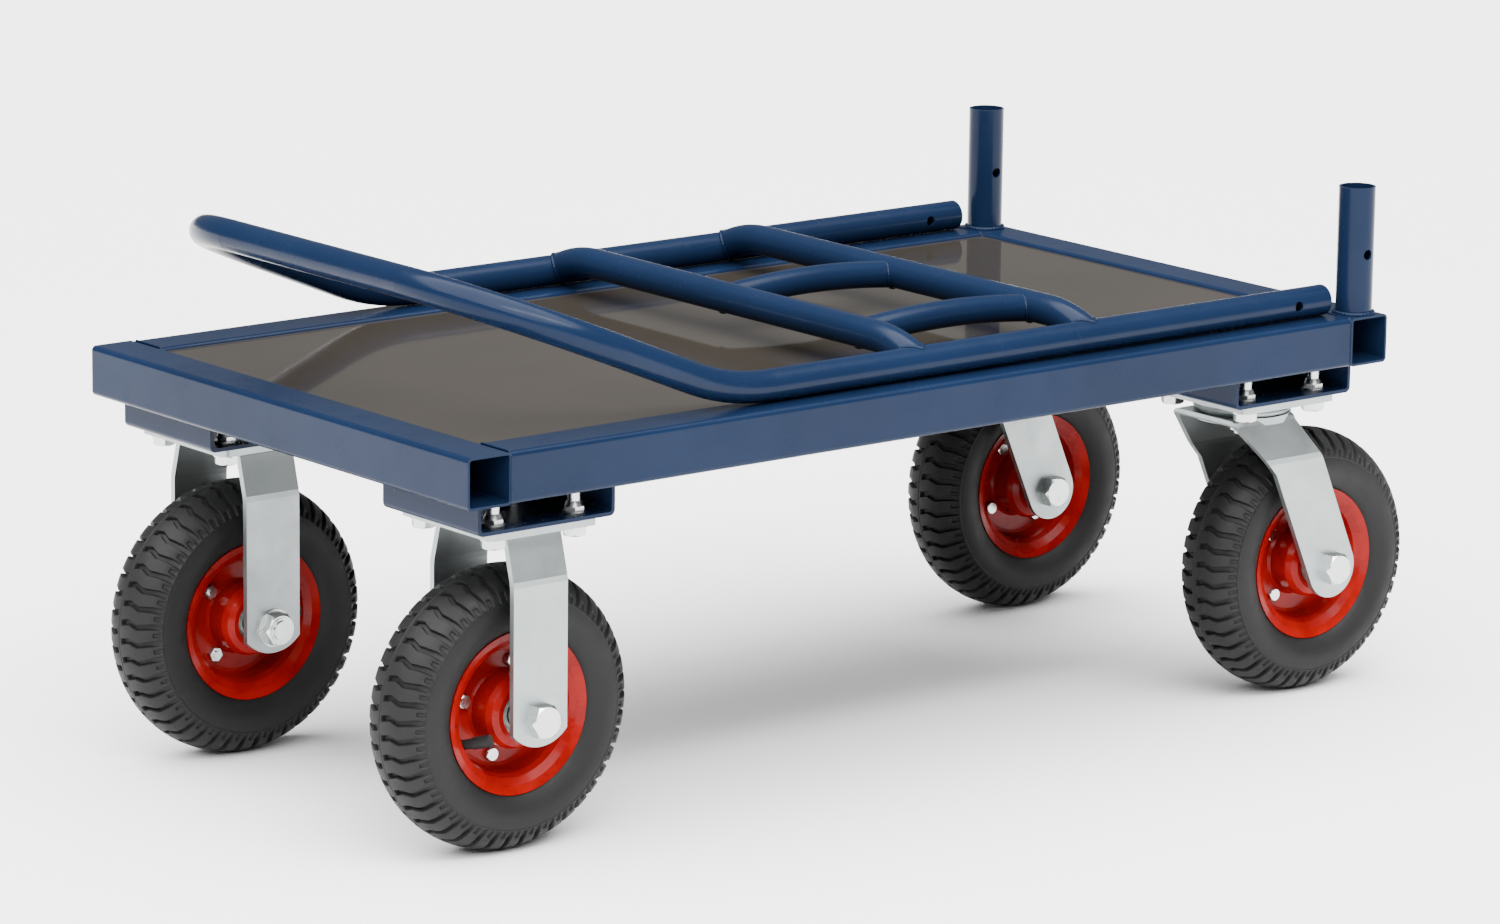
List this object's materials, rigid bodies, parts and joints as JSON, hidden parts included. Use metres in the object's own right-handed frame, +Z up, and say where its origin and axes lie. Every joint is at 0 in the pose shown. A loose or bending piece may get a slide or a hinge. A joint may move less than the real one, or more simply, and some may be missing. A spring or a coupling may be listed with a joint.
{
  "type": "platform cart",
  "caption": "Platform cart: tube deck frame with a dark panel, rigid front and swivel rear casters with pneumatic wheels, and a lift-off tube handle lying on the deck.",
  "frame": {"origin": "on the floor, midway along and across the whole cart with its handle lying on it", "axes": "+Z up; +X towards the rear end with the handle sockets and swivel casters; -Y the near side of the picture, where the rails' open ends show"},
  "size_m": [1.0385, 0.5015, 0.4399],
  "materials": {
    "blue_paint": "glossy powder coat",
    "panel": "gloss dark film on board",
    "zinc": "bright zinc plate",
    "bright_steel": "ground steel",
    "orange_paint": "glossy paint on pressed steel",
    "tyre": "matte moulded rubber",
    "rubber": "satin rubber"
  },
  "bodies": {
    "deck_and_rigid_casters": {"front_rail": "blue_paint", "rear_rail": "blue_paint", "side_rail_near": "blue_paint", "side_rail_far": "blue_paint", "deck_panel": "panel", "cross_bearers": "blue_paint", "socket_near": "blue_paint", "socket_far": "blue_paint", "bracket_front_near": "blue_paint", "bracket_front_far": "blue_paint", "bracket_rear_near": "blue_paint", "bracket_rear_far": "blue_paint", "rigid_plates": "zinc", "yoke_near": "zinc", "yoke_far": "zinc", "swivel_plate_near": "zinc", "swivel_plate_far": "zinc", "plate_bolts": "zinc", "plate_nuts": "zinc", "race_balls": "bright_steel", "kingpins": "zinc", "front_axle_bolts": "zinc", "front_axle_nuts": "zinc", "front_spacers": "zinc"},
    "swivel_fork_near": {"fork_near": "zinc", "rear_axle_bolt_near": "zinc", "rear_axle_nut_near": "zinc", "rear_spacers_near": "zinc"},
    "swivel_fork_far": {"fork_far": "zinc", "rear_axle_bolt_far": "zinc", "rear_axle_nut_far": "zinc", "rear_spacers_far": "zinc"},
    "wheel_front_near": {"tyre_front_near": "tyre", "inner_tube_front_near": "rubber", "rim_outer_front_near": "orange_paint", "rim_inner_front_near": "orange_paint", "rim_bolts_front_near": "zinc", "bearings_front_near": "bright_steel"},
    "wheel_front_far": {"tyre_front_far": "tyre", "inner_tube_front_far": "rubber", "rim_outer_front_far": "orange_paint", "rim_inner_front_far": "orange_paint", "rim_bolts_front_far": "zinc", "bearings_front_far": "bright_steel"},
    "wheel_rear_near": {"tyre_rear_near": "tyre", "inner_tube_rear_near": "rubber", "rim_outer_rear_near": "orange_paint", "rim_inner_rear_near": "orange_paint", "rim_bolts_rear_near": "zinc", "bearings_rear_near": "bright_steel"},
    "wheel_rear_far": {"tyre_rear_far": "tyre", "inner_tube_rear_far": "rubber", "rim_outer_rear_far": "orange_paint", "rim_inner_rear_far": "orange_paint", "rim_bolts_rear_far": "zinc", "bearings_rear_far": "bright_steel"},
    "lift_off_handle": {"handle_tube": "blue_paint", "handle_rungs": "blue_paint", "handle_bows": "blue_paint"}
  },
  "joints": [
    {"name": "swivel_near", "type": "hinge", "parent": "deck_and_rigid_casters", "child": "swivel_fork_near", "pos_m": [0.348, -0.175, 0.24], "axis": [0, 0, 1], "continuous": true},
    {"name": "swivel_far", "type": "hinge", "parent": "deck_and_rigid_casters", "child": "swivel_fork_far", "pos_m": [0.348, 0.175, 0.24], "axis": [0, 0, 1], "continuous": true},
    {"name": "wheel_spin_front_near", "type": "hinge", "parent": "deck_and_rigid_casters", "child": "wheel_front_near", "pos_m": [-0.4095, -0.175, 0.11], "axis": [0, 1, 0], "continuous": true},
    {"name": "wheel_spin_rear_near", "type": "hinge", "parent": "swivel_fork_near", "child": "wheel_rear_near", "pos_m": [0.409, -0.175, 0.11], "axis": [0, 1, 0], "continuous": true},
    {"name": "wheel_spin_front_far", "type": "hinge", "parent": "deck_and_rigid_casters", "child": "wheel_front_far", "pos_m": [-0.4095, 0.175, 0.11], "axis": [0, 1, 0], "continuous": true},
    {"name": "wheel_spin_rear_far", "type": "hinge", "parent": "swivel_fork_far", "child": "wheel_rear_far", "pos_m": [0.409, 0.175, 0.11], "axis": [0, 1, 0], "continuous": true},
    {"name": "handle_lift", "type": "slide", "parent": "deck_and_rigid_casters", "child": "lift_off_handle", "axis": [0, 0, 1], "range_m": [0, 0.3]}
  ]
}
